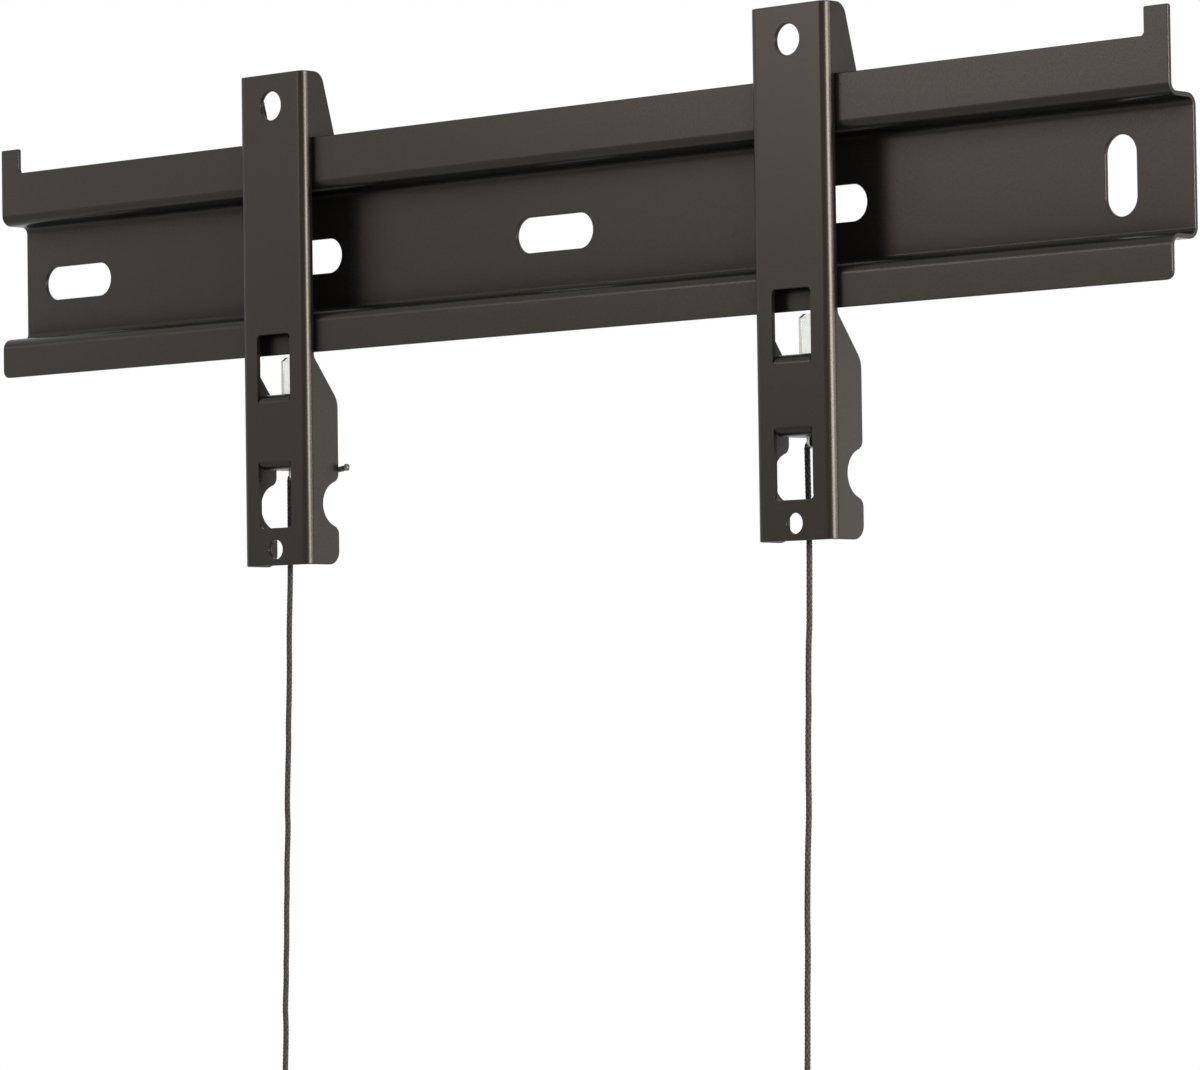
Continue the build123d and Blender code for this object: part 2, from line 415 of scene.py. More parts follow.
@dataclass(frozen=True)
class BraidedPolyester(Finish):
    """Matt polyester yarns, plaited into a thin cord."""

    # To the eye it is a dry, warm dark grey with a trace of fuzz. Yarns differ a little in tone, and painted
    # shade makes each darker where it passes under the others and lighter where it passes over them.
    name: str = "braided_polyester"
    light: str = "#3a332e"
    dark: str = "#181513"
    fibre_length: float = 2.5
    # Fibres are about 0.02 mm wide, too fine to show, so they are drawn a tenth of a yarn wide
    fibres_round: float = 9.0
    fibre_detail: float = 2.0
    fibre_contrast: float = 0.25
    fibre_strength: float = 0.4
    fibre_depth: float = 0.04
    smoothest: float = 0.62
    roughest: float = 0.82
    fuzz: float = 0.08
    fuzz_roughness: float = 0.5
    mirror: float = 0.2

    def build(self) -> bpy.types.Material:
        """Builds the material.

        Returns:
            The yarns' material.
        """
        material, tree, shader = self.start()
        # This attribute holds each yarn's own tone together with painted shade from the weave
        yarn = add_node(tree, "ShaderNodeAttribute", attribute_name="yarn_tone_and_painted_shade")
        place = add_node(tree, "ShaderNodeTexCoord").outputs["UV"]
        combed = add_node(tree, "ShaderNodeMapping", {
            "Vector": place, "Scale": (per_mm(self.fibre_length), self.fibres_round, 1.0),
        })
        fibres = add_node(tree, "ShaderNodeTexNoise", {
            "Vector": combed.outputs["Vector"], "Scale": 1.0, "Detail": self.fibre_detail,
        })
        streaks = add_node(tree, "ShaderNodeMapRange", {
            "Value": fibres.outputs["Fac"], "From Min": NOISE_LOW, "From Max": NOISE_HIGH,
            "To Min": -self.fibre_contrast, "To Max": self.fibre_contrast,
        })
        share = add_node(tree, "ShaderNodeMath", {
            0: yarn.outputs["Fac"], 1: streaks.outputs["Result"],
        }, operation="ADD", use_clamp=True)
        tone = add_node(tree, "ShaderNodeMix", {
            MIX_SHARE: share.outputs["Value"], MIX_FIRST: linear(self.dark), MIX_SECOND: linear(self.light),
        }, data_type="RGBA")
        relief = add_node(tree, "ShaderNodeBump", {
            "Strength": self.fibre_strength, "Distance": self.fibre_depth * MM,
            "Height": fibres.outputs["Fac"],
        })
        gloss = add_node(tree, "ShaderNodeMapRange", {
            "Value": fibres.outputs["Fac"], "From Min": NOISE_LOW, "From Max": NOISE_HIGH,
            "To Min": self.smoothest, "To Max": self.roughest,
        })
        fill_inputs(tree, shader, {
            "Base Color": tone.outputs[MIX_RESULT], "Roughness": gloss.outputs["Result"],
            "Normal": relief.outputs["Normal"], "Specular IOR Level": self.mirror,
            "Sheen Weight": self.fuzz, "Sheen Roughness": self.fuzz_roughness,
        })
        return material


@dataclass(frozen=True)
class FusedPolyester(Finish):
    """The cord's own polyester, melted at a cut end so that it can't fray."""

    # To the eye it is a paler, glassier blob than the cord, with brown patches where the flame scorched it
    name: str = "fused_polyester"
    pale: str = "#5e5650"
    burnt: str = "#241f1b"
    scorch: float = 1.3
    scorch_detail: float = 3.0
    scorch_strength: float = 0.3
    scorch_depth: float = 0.1
    still_pale: float = 0.45
    all_burnt: float = 0.65
    smoothest: float = 0.25
    roughest: float = 0.5

    def build(self) -> bpy.types.Material:
        """Builds the material.

        Returns:
            The melted polyester.
        """
        material, tree, shader = self.start()
        place = add_node(tree, "ShaderNodeTexCoord").outputs["Object"]
        scorch = add_node(tree, "ShaderNodeTexNoise", {
            "Vector": place, "Scale": per_mm(self.scorch), "Detail": self.scorch_detail,
        })
        share = add_node(tree, "ShaderNodeMapRange", {
            "Value": scorch.outputs["Fac"], "From Min": self.still_pale, "From Max": self.all_burnt,
            "To Min": 0.0, "To Max": 1.0,
        })
        tone = add_node(tree, "ShaderNodeMix", {
            MIX_SHARE: share.outputs["Result"], MIX_FIRST: linear(self.pale), MIX_SECOND: linear(self.burnt),
        }, data_type="RGBA")
        gloss = add_node(tree, "ShaderNodeMapRange", {
            "Value": scorch.outputs["Fac"], "From Min": NOISE_LOW, "From Max": NOISE_HIGH,
            "To Min": self.smoothest, "To Max": self.roughest,
        })
        relief = add_node(tree, "ShaderNodeBump", {
            "Strength": self.scorch_strength, "Distance": self.scorch_depth * MM,
            "Height": scorch.outputs["Fac"],
        })
        fill_inputs(tree, shader, {
            "Base Color": tone.outputs[MIX_RESULT], "Roughness": gloss.outputs["Result"],
            "Normal": relief.outputs["Normal"],
        })
        return material


@dataclass
class Finishes:
    """The built materials, one of each."""

    coat: bpy.types.Material = field(default_factory=PowderCoatedSteel().build)
    zinc: bpy.types.Material = field(default_factory=ZincPlatedSteel().build)
    wire: bpy.types.Material = field(default_factory=DrawnSpringWire().build)
    cord: bpy.types.Material = field(default_factory=BraidedPolyester().build)
    fused: bpy.types.Material = field(default_factory=FusedPolyester().build)


# Steel pieces


@dataclass(frozen=True)
class EdgeRounding:
    """How a cut sheet edge is softened by its finish."""

    radius: float
    segments: int = 3
    corner_angle: float = math.radians(38)
    smooth_angle: float = math.radians(42)
    merge_gap: float = 0.002 * MM
    flat_angle: float = math.radians(0.6)
    area_weight: int = 50

    def merged_copy(self, node: str, name: str) -> bpy.types.Object:
        """Copies a solid's mesh, joins its loose triangles and clears its flat faces of inner edges.

        Args:
            node: Name of the solid.
            name: Name of the new piece.

        Returns:
            The merged copy.
        """
        piece = add_object(name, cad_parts[node].data.copy())
        activate(piece)
        bpy.ops.mesh.customdata_custom_splitnormals_clear()
        edit_whole()
        bpy.ops.mesh.remove_doubles(threshold=self.merge_gap)
        bpy.ops.mesh.dissolve_limited(angle_limit=self.flat_angle)
        bpy.ops.object.mode_set(mode="OBJECT")
        return piece

    def finish(self, piece: bpy.types.Object, left_sharp: Sequence[Box] = ()) -> None:
        """Rounds the cut edges of a piece and shades its bends smoothly.

        Args:
            piece: Merged copy of a sheet part.
            left_sharp: Boxes in which the edges stay as the punch left them.
        """
        activate(piece)
        bpy.ops.object.mode_set(mode="EDIT")
        bpy.ops.mesh.select_mode(type="EDGE")
        bpy.ops.mesh.select_all(action="DESELECT")
        bpy.ops.mesh.edges_select_sharp(sharpness=self.corner_angle)
        bpy.ops.object.mode_set(mode="OBJECT")
        mesh = piece.data
        kept = [any(inside(vertex.co, box) for box in left_sharp) for vertex in mesh.vertices]
        for face in mesh.polygons:
            face.select = False
        for edge in mesh.edges:
            edge.select = edge.select and not any(kept[i] for i in edge.vertices)
        rounded = {i for edge in mesh.edges if edge.select for i in edge.vertices}
        for vertex in mesh.vertices:
            vertex.select = vertex.index in rounded
        bpy.ops.object.mode_set(mode="EDIT")
        bpy.ops.mesh.bevel(
            offset=self.radius, segments=self.segments, affect="EDGES", clamp_overlap=False, miter_outer="ARC"
        )
        bpy.ops.mesh.select_mode(type="VERT")
        bpy.ops.object.mode_set(mode="OBJECT")
        bpy.ops.object.shade_smooth_by_angle(angle=self.smooth_angle)
        apply_modifier(piece, "WEIGHTED_NORMAL", mode="FACE_AREA", weight=self.area_weight, keep_sharp=True)

    def remake(self, node: str, name: str, body: str, left_sharp: Sequence[Box] = ()) -> bpy.types.Object:
        """Makes a rounded piece that stands for a solid and rides on its body.

        Args:
            node: Name of the solid.
            name: Name of the new piece.
            body: Body that it moves with.
            left_sharp: Boxes in which the edges stay as the punch left them.

        Returns:
            The finished piece, not yet dressed.
        """
        piece = self.merged_copy(node, name)
        self.finish(piece, left_sharp)
        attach(piece, body)
        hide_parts(node)
        return piece


@dataclass
class WallRail:
    """The pressed hat-section rail that is screwed to the wall."""

    edges: EdgeRounding = EdgeRounding(radius=0.4 * MM)

    def build(self, finishes: Finishes) -> None:
        """Builds and dresses the rail.

        Args:
            finishes: The built materials.
        """
        rail = self.edges.remake("wall_rail", "rail_pressing", "rail")
        dress(rail, finishes.coat)
        log.info("%s", rail.name)


@dataclass
class Arm:
    """One folded channel arm that hooks over the rail and carries the screen."""

    hand: Hand
    edges: EdgeRounding = EdgeRounding(radius=0.4 * MM)
    front: float = -23.05 * MM
    shelf_roots: Sequence[tuple[float, float]] = ((-70.0 * MM, -58.0 * MM), (-101.0 * MM, -86.0 * MM))
    root_half_width: float = 12.0 * MM
    root_depth: float = 6.0 * MM
    root_margin: float = 1.0 * MM

    def shelf_boxes(self) -> list[Box]:
        """Finds the folds of the two shelves, where the punch left short edges.

        Returns:
            A box round each fold.
        """
        left, right = self.hand.middle - self.root_half_width, self.hand.middle + self.root_half_width
        near, far = self.front - self.root_margin, self.front + self.root_depth
        return [((left, near, low), (right, far, high)) for low, high in self.shelf_roots]

    def build(self, finishes: Finishes) -> None:
        """Builds and dresses the arm's channel.

        Args:
            finishes: The built materials.
        """
        label = self.hand.label
        channel = self.edges.remake(
            f"{label}_arm", f"{label}_arm_channel", f"{label}_arm_body", self.shelf_boxes()
        )
        dress(channel, finishes.coat)
        log.info("%s", channel.name)


@dataclass
class Latch:
    """The spring bolt of one arm, with its cross pin and its pressure spring."""

    hand: Hand
    bolt_edges: EdgeRounding = EdgeRounding(radius=0.15 * MM, segments=2)
    pin_edges: EdgeRounding = EdgeRounding(radius=0.25 * MM, segments=2)
    middle_y: float = -11.05 * MM
    spring_foot: float = -94.25 * MM
    spring_head: float = -66.65 * MM
    coil_radius: float = 3.4 * MM
    wire: float = 0.8 * MM
    turns: int = 8
    dead_turns: int = 1
    closed_pitch_wires: float = 1.05
    first_pitch_wires: float = 4.0
    steps_per_turn: int = 28
    wire_sides: int = 10
    smooth_angle: float = math.radians(50)
    travel: float = 14.0 * MM

    def build(self, finishes: Finishes) -> None:
        """Builds and dresses the bolt, pin and spring.

        Args:
            finishes: The built materials.
        """
        label = self.hand.label
        body = f"{label}_latch_body"
        bolt = self.bolt_edges.remake(f"{label}_latch_bolt", f"{label}_bolt_plate", body)
        dress(bolt, finishes.zinc)
        pin = self.pin_edges.remake(f"{label}_spring_pin", f"{label}_cross_pin", body)
        dress(pin, finishes.zinc)
        spring = self.make_spring(f"{label}_pressure_spring")
        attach(spring, f"{label}_arm_body")
        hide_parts(f"{label}_latch_spring")
        dress(spring, finishes.wire)
        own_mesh(spring)
        for piece in (bolt, pin, spring):
            log.info("%s", piece.name)

    def coil_height(self, turn: float) -> float:
        """Height of the wire's middle above the spring's foot, with closed turns at both ends.

        Args:
            turn: Turns wound so far from the foot.

        Returns:
            Height in metres.
        """
        length = self.spring_head - self.spring_foot - self.wire
        closed = self.wire * self.closed_pitch_wires
        if turn <= self.dead_turns:
            rise = closed * turn / self.dead_turns
        elif turn >= self.turns - self.dead_turns:
            rise = length - closed * (self.turns - turn) / self.dead_turns
        else:
            open_share = (turn - self.dead_turns) / (self.turns - 2 * self.dead_turns)
            rise = closed + (length - 2 * closed) * open_share
        return rise + self.wire / 2

    def make_spring(self, name: str) -> bpy.types.Object:
        """Winds a wire circle into an even spring, then sets its turns and closes the end ones.

        Args:
            name: Name of the piece.

        Returns:
            The spring, in place.
        """
        bpy.ops.object.select_all(action="DESELECT")
        bpy.ops.mesh.primitive_circle_add(
            vertices=self.wire_sides, radius=self.wire / 2, rotation=(math.pi / 2, 0, 0)
        )
        spring = bpy.context.object
        spring.name = name
        bpy.ops.object.transform_apply(location=False, rotation=True, scale=False)
        edit_whole()
        bpy.ops.transform.translate(value=(self.coil_radius, 0, 0))
        bpy.ops.object.mode_set(mode="OBJECT")
        pitch = self.first_pitch_wires * self.wire
        steps = self.turns * self.steps_per_turn
        apply_modifier(
            spring, "SCREW", axis="Z", angle=self.turns * math.tau, screw_offset=self.turns * pitch,
            steps=steps, render_steps=steps, use_merge_vertices=False,
        )
        for vertex in spring.data.vertices:
            part = math.atan2(vertex.co.y, vertex.co.x) / math.tau
            turn = part + round(vertex.co.z / pitch - part)
            vertex.co.z += self.coil_height(turn) - turn * pitch
        edit_whole()
        bpy.ops.mesh.fill_holes(sides=self.wire_sides)
        bpy.ops.mesh.normals_make_consistent(inside=False)
        bpy.ops.transform.translate(value=(self.hand.middle, self.middle_y, self.spring_foot))
        bpy.ops.object.mode_set(mode="OBJECT")
        bpy.ops.object.shade_smooth_by_angle(angle=self.smooth_angle)
        return spring


# Cords


def spline_line(route: Sequence[Point]) -> np.ndarray:
    """Points of the smooth line that a route's control points give.

    Args:
        route: Control points of the route.

    Returns:
        Points read from the route's NURBS spline.
    """
    curve = bpy.data.curves.new("route", "CURVE")
    curve.dimensions = "3D"
    curve.resolution_u = SPLINE_STEPS
    spline = curve.splines.new("NURBS")
    spline.points.add(len(route) - 1)
    for knot, point in zip(spline.points, route):
        knot.co = (*point, 1.0)
    spline.order_u = SPLINE_ORDER
    spline.use_endpoint_u = True
    carrier = add_object("route", curve)
    bpy.context.view_layer.update()
    mesh = bpy.data.meshes.new_from_object(carrier.evaluated_get(bpy.context.evaluated_depsgraph_get()))
    line = np.array([vertex.co for vertex in mesh.vertices], float)
    bpy.data.meshes.remove(mesh)
    bpy.data.objects.remove(carrier)
    bpy.data.curves.remove(curve)
    return line


def distance_along(line: np.ndarray) -> np.ndarray:
    """How far along a line each of its points is."""
    return np.concatenate(([0.0], np.cumsum(np.linalg.norm(np.diff(line, axis=0), axis=1))))


def evenly_spaced(line: np.ndarray, step: float) -> tuple[np.ndarray, np.ndarray]:
    """Spaces the points of a line evenly.

    Args:
        line: Points of the line.
        step: Distance between points.

    Returns:
        The new points, and how far along the line each one is.
    """
    far = distance_along(line)
    along = np.linspace(0.0, far[-1], max(2, round(far[-1] / step) + 1))
    return np.stack([np.interp(along, far, line[:, axis]) for axis in range(3)], axis=1), along


def steady_frame(line: np.ndarray) -> tuple[np.ndarray, np.ndarray]:
    """Two directions across a line that turn with it and don't twist.

    Args:
        line: Evenly spaced points of the line.

    Returns:
        The two directions at each point.
    """
    heading = np.gradient(line, axis=0)
    heading /= np.linalg.norm(heading, axis=1)[:, None]
    first = np.zeros_like(line)
    across = np.cross(heading[0], SLANT)
    for i, ahead in enumerate(heading):
        across = across - ahead * across.dot(ahead)
        across /= np.linalg.norm(across)
        first[i] = across
    return first, np.cross(heading, first)


@dataclass(frozen=True)
class Braid:
    """A diamond braid: as many yarns each way round, going over one and under one."""

    yarns_each_way: int = 4
    lead: float = 13.0 * MM
    half_width: float = 0.64 * MM
    half_height: float = 0.24 * MM
    weave: float = 0.17 * MM
    step: float = 0.3 * MM
    yarn_sides: int = 6
    core_sides: int = 8
    core_sink: float = 0.5
    cord_radius: float = 1.32 * MM
    # Tones of the yarns, from 0 for dark to 1 for light
    mean_tone: float = 0.5
    tone_spread: float = 0.12
    tone_step: float = 2.4
    # Painted shade: how much darker a yarn is where it passes under, and lighter where it passes over
    painted_weave_shade: float = 0.35
    smooth_angle: float = math.radians(60)

    def plait(self, name: str, lines: Sequence[tuple[np.ndarray, float]]) -> bpy.types.Object:
        """Plaits yarns round a core along each line, as one piece.

        Args:
            name: Name of the piece.
            lines: Points of each line, with the radius of the cord there.

        Returns:
            The braided piece.
        """
        corners: list[np.ndarray] = []
        faces: list[tuple[int, ...]] = []
        marks: list[np.ndarray] = []
        tones: list[np.ndarray] = []
        count = 0
        for line, radius in lines:
            for ring, tone in self.yarns(line, radius):
                rows, sides = ring.shape[:2]
                corners.append(ring.reshape(-1, 3))
                tones.append(np.repeat(tone, sides))
                run = distance_along(ring[:, 0])
                for row in range(rows - 1):
                    base = count + row * sides
                    low, high = run[row], run[row + 1]
                    for side in range(sides):
                        after = (side + 1) % sides
                        faces.append((base + side, base + after, base + sides + after, base + sides + side))
                        edge = np.array([(low, side), (low, side + 1), (high, side + 1), (high, side)])
                        marks.append(edge / (1.0, sides))
                for row in (0, rows - 1):
                    faces.append(tuple(count + row * sides + side for side in range(sides)))
                    marks.append(np.full((sides, 2), run[row]))
                count += rows * sides
        mesh = bpy.data.meshes.new(name)
        mesh.from_pydata(np.concatenate(corners).tolist(), [], faces)
        mesh.uv_layers.new(name="UVMap").data.foreach_set("uv", np.concatenate(marks).ravel())
        mesh.attributes.new("yarn_tone_and_painted_shade", "FLOAT", "POINT").data.foreach_set("value", np.concatenate(tones))
        piece = add_object(name, mesh)
        activate(piece)
        edit_whole()
        bpy.ops.mesh.normals_make_consistent(inside=False)
        bpy.ops.object.mode_set(mode="OBJECT")
        bpy.ops.object.shade_smooth_by_angle(angle=self.smooth_angle)
        return piece

    @staticmethod
    def round_steps(sides: int) -> tuple[np.ndarray, np.ndarray]:
        """Cosine and sine of each step round a ring, shaped to multiply rows of directions."""
        turn = (np.arange(sides) * math.tau / sides)[None, :, None]
        return np.cos(turn), np.sin(turn)

    def yarns(self, line: np.ndarray, radius: float) -> list[tuple[np.ndarray, np.ndarray]]:
        """Rings of points for the core and for each yarn.

        Args:
            line: Points of the cord's middle line.
            radius: Radius of the cord.

        Returns:
            For each yarn its rings, by row and side, and a tone for each row, which holds painted shade where
            the yarn passes under.
        """
        scale = radius / self.cord_radius
        line, along = evenly_spaced(line, self.step * scale)
        normal, binormal = steady_frame(line)
        middle = radius - (self.half_height + self.weave) * scale
        turn = math.tau * along / (self.lead * scale)
        wave = np.cos(self.yarns_each_way * turn)
        to_normal, to_binormal = self.round_steps(self.core_sides)
        core_out = to_normal * normal[:, None] + to_binormal * binormal[:, None]
        core_radius = middle - self.core_sink * self.weave * scale
        made = [(line[:, None] + core_radius * core_out, np.zeros(len(line)))]
        high, wide = self.round_steps(self.yarn_sides)
        for way in (1, -1):
            for yarn in range(self.yarns_each_way):
                angle = (way * turn + math.tau * yarn / self.yarns_each_way)[:, None]
                out = np.cos(angle) * normal + np.sin(angle) * binormal
                centre = line + (middle + way * self.weave * scale * wave)[:, None] * out
                run = np.gradient(centre, axis=0)
                across = np.cross(run, out)
                across /= np.linalg.norm(across, axis=1)[:, None]
                ring = centre[:, None] + scale * (
                    self.half_height * high * out[:, None] + self.half_width * wide * across[:, None]
                )
                shade = self.mean_tone + self.tone_spread * math.sin(self.tone_step * yarn + way)
                # The yarn's own tone, plus painted shade where it passes under and painted light where it
                # passes over
                made.append((ring, shade + self.painted_weave_shade * way * wave))
        return made


@dataclass(frozen=True)
class MeltedTip:
    """The melted blob on a cut end of a cord, with its sizes in millimetres."""

    radius: float
    half_length: float
    unevenness: float = 0.08
    seed: int = 7
    subdivisions: int = 2
    smoothing: int = 2

    def build(self, name: str, middle: Point, heading: Point) -> bpy.types.Object:
        """Makes the blob.

        Args:
            name: Name of the piece.
            middle: Middle of the blob.
            heading: Direction in which the cord ends.

        Returns:
            The blob, in place.
        """
        bpy.ops.object.select_all(action="DESELECT")
        bpy.ops.mesh.primitive_ico_sphere_add(subdivisions=self.subdivisions, radius=self.radius * MM)
        tip = bpy.context.object
        tip.name = name
        edit_whole()
        bpy.ops.transform.resize(value=(1.0, 1.0, self.half_length / self.radius))
        bpy.ops.transform.vertex_random(offset=self.unevenness * self.radius * MM, seed=self.seed)
        bpy.ops.object.mode_set(mode="OBJECT")
        apply_modifier(tip, "SUBSURF", levels=self.smoothing, render_levels=self.smoothing)
        turn = Vector(heading).to_track_quat("Z", "Y").to_matrix().to_4x4()
        tip.data.transform(Matrix.Translation(middle) @ turn)
        bpy.ops.object.shade_smooth()
        return tip


@dataclass
class PullCord:
    """The cord that pulls one bolt down, with its two knots and, on the left, its loose tail.

    Its points and sizes are in millimetres, about the arm's middle. Its diameter is in metres.
    """

    hand: Hand
    hang: Sequence[Point]
    tail: Sequence[Point] = ()
    braid: Braid = Braid()
    diameter: float = 2.2 * MM
    eye_height: float = -98.6
    eye_y: float = -11.05
    knot_start: float = 0.85
    knot_length: float = 4.6
    knot_radius: float = 2.3
    grip_length: float = 6.0
    grip_radius: float = 2.7
    grip_tail: float = 6.0
    grip_tip: MeltedTip = MeltedTip(radius=1.15, half_length=0.75)
    braid_stop: float = 0.8
    stub_tip: MeltedTip = MeltedTip(radius=1.75, half_length=1.5)
    stub_tip_reach: float = 1.3
    wraps: int = 3
    points_per_wrap: int = 12
    tucked_shares: Sequence[float] = (1.0, 0.85, 0.55)

    @property
    def foot(self) -> float:
        """Height of the cord's lowest point."""
        return self.hang[-1][2] - self.grip_length - self.grip_tail

    def place(self, points: Sequence[Point]) -> list[Point]:
        """Moves points from millimetres about the arm's middle into the frame."""
        return [(self.hand.middle + x * MM, y * MM, z * MM) for x, y, z in points]

    def build(self, finishes: Finishes) -> None:
        """Args:
            finishes: The built materials.
        """
        label = self.hand.label
        body = f"{label}_latch_body"
        eye = (self.eye_y, self.eye_height)
        route = self.place([(self.knot_start, *eye), (self.hang[0][0], *eye), *self.hang])
        line = spline_line(route)
        cord = self.braid.plait(f"{label}_cord_braid", [(line, self.braid.cord_radius)])
        stopper = self.make_stopper(f"{label}_stopper_knot")
        grip = self.make_grip(f"{label}_grip_knot")
        x, y, _ = self.hang[-1]
        end = self.place([(x, y, self.foot + self.grip_tip.half_length)])[0]
        tip = self.grip_tip.build(f"{label}_grip_tip", end, (0.0, 0.0, -1.0))
        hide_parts(f"{label}_pull_cord")
        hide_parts(f"{label}_cord_knot")
        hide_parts(f"{label}_end_knot")
        braided, tips = [cord, stopper, grip], [tip]
        if self.tail:
            stub_line = spline_line(self.place(self.tail))
            stub = self.braid.plait(f"{label}_cord_stub", [(stub_line, self.braid.cord_radius)])
            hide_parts(f"{label}_cord_tail")
            heading = stub_line[-1] - stub_line[-2]
            blob_middle = stub_line[-1] + heading / np.linalg.norm(heading) * self.stub_tip_reach * MM
            tips.append(self.stub_tip.build(f"{label}_stub_tip", tuple(blob_middle), tuple(heading)))
            braided.append(stub)
        for piece in braided:
            dress(piece, finishes.cord)
        for piece in tips:
            dress(piece, finishes.fused)
        for piece in braided + tips:
            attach(piece, body)
            log.info("%s", piece.name)

    def winding(self, length: float, radius: float, squeeze: float) -> list[Point]:
        """Control points of a wrapped knot along z, from z = 0 up, with both ends tucked in.

        Args:
            length: Length of the knot.
            radius: Outer radius of the knot.
            squeeze: Radius of the cord where the knot presses it.

        Returns:
            Points from inside the first wrap to inside the last.
        """
        steps = self.wraps * self.points_per_wrap
        tucked = len(self.tucked_shares) - 1
        reach = (radius - squeeze) / math.cos(math.pi / self.points_per_wrap) ** 2
        points = []
        for i in range(-tucked, steps + tucked + 1):
            angle = math.tau * i / self.points_per_wrap
            height = squeeze + (length - 2 * squeeze) * min(max(i / steps, 0.0), 1.0)
            out = reach * self.tucked_shares[max(-i, i - steps, 0)]
            points.append((out * math.cos(angle), out * math.sin(angle), height))
        return points

    def make_stopper(self, name: str) -> bpy.types.Object:
        """Makes the wrapped knot that stops the cord on the right of the bolt's eye.

        Args:
            name: Name of the piece.

        Returns:
            The knot, in place.
        """
        squeeze = self.knot_length / self.wraps / 2
        wound = self.winding(self.knot_length, self.knot_radius, squeeze)
        points = [(self.knot_start + z, self.eye_y + x, self.eye_height + y) for x, y, z in wound]
        return self.braid.plait(name, [(spline_line(self.place(points)), squeeze * MM)])

    def make_grip(self, name: str) -> bpy.types.Object:
        """Makes the wrapped knot at the cord's lower end, with the short tail under it.

        Args:
            name: Name of the piece.

        Returns:
            The knot and its tail as one piece, in place.
        """
        squeeze = self.grip_length / self.wraps / 2
        wound = self.winding(self.grip_length, self.grip_radius, squeeze)
        x, y, z = self.hang[-1]
        points = [(x + px, y + py, z - self.grip_length + pz) for px, py, pz in wound]
        through = [(x, y, z), (x, y, z - self.grip_length), (x, y, self.foot + self.braid_stop)]
        lines = [
            (spline_line(self.place(points)), squeeze * MM),
            (spline_line(self.place(through)), self.braid.cord_radius),
        ]
        return self.braid.plait(name, lines)


# Studio


@dataclass(frozen=True)
class Lamp:
    """A white soft box."""

    name: str
    place: Point
    size: tuple[float, float]
    power: float
    aim: Point = (0.0, 0.0, -0.05)

    def build(self) -> None:
        """Adds the lamp to the scene, out of the camera's sight."""
        light = bpy.data.lights.new(self.name, "AREA")
        light.shape = "RECTANGLE"
        light.size, light.size_y = self.size
        light.energy = self.power
        carrier = add_object(self.name, light)
        carrier.location = self.place
        carrier.rotation_euler = (Vector(self.aim) - Vector(self.place)).to_track_quat("-Z", "Y").to_euler()
        carrier.visible_camera = False


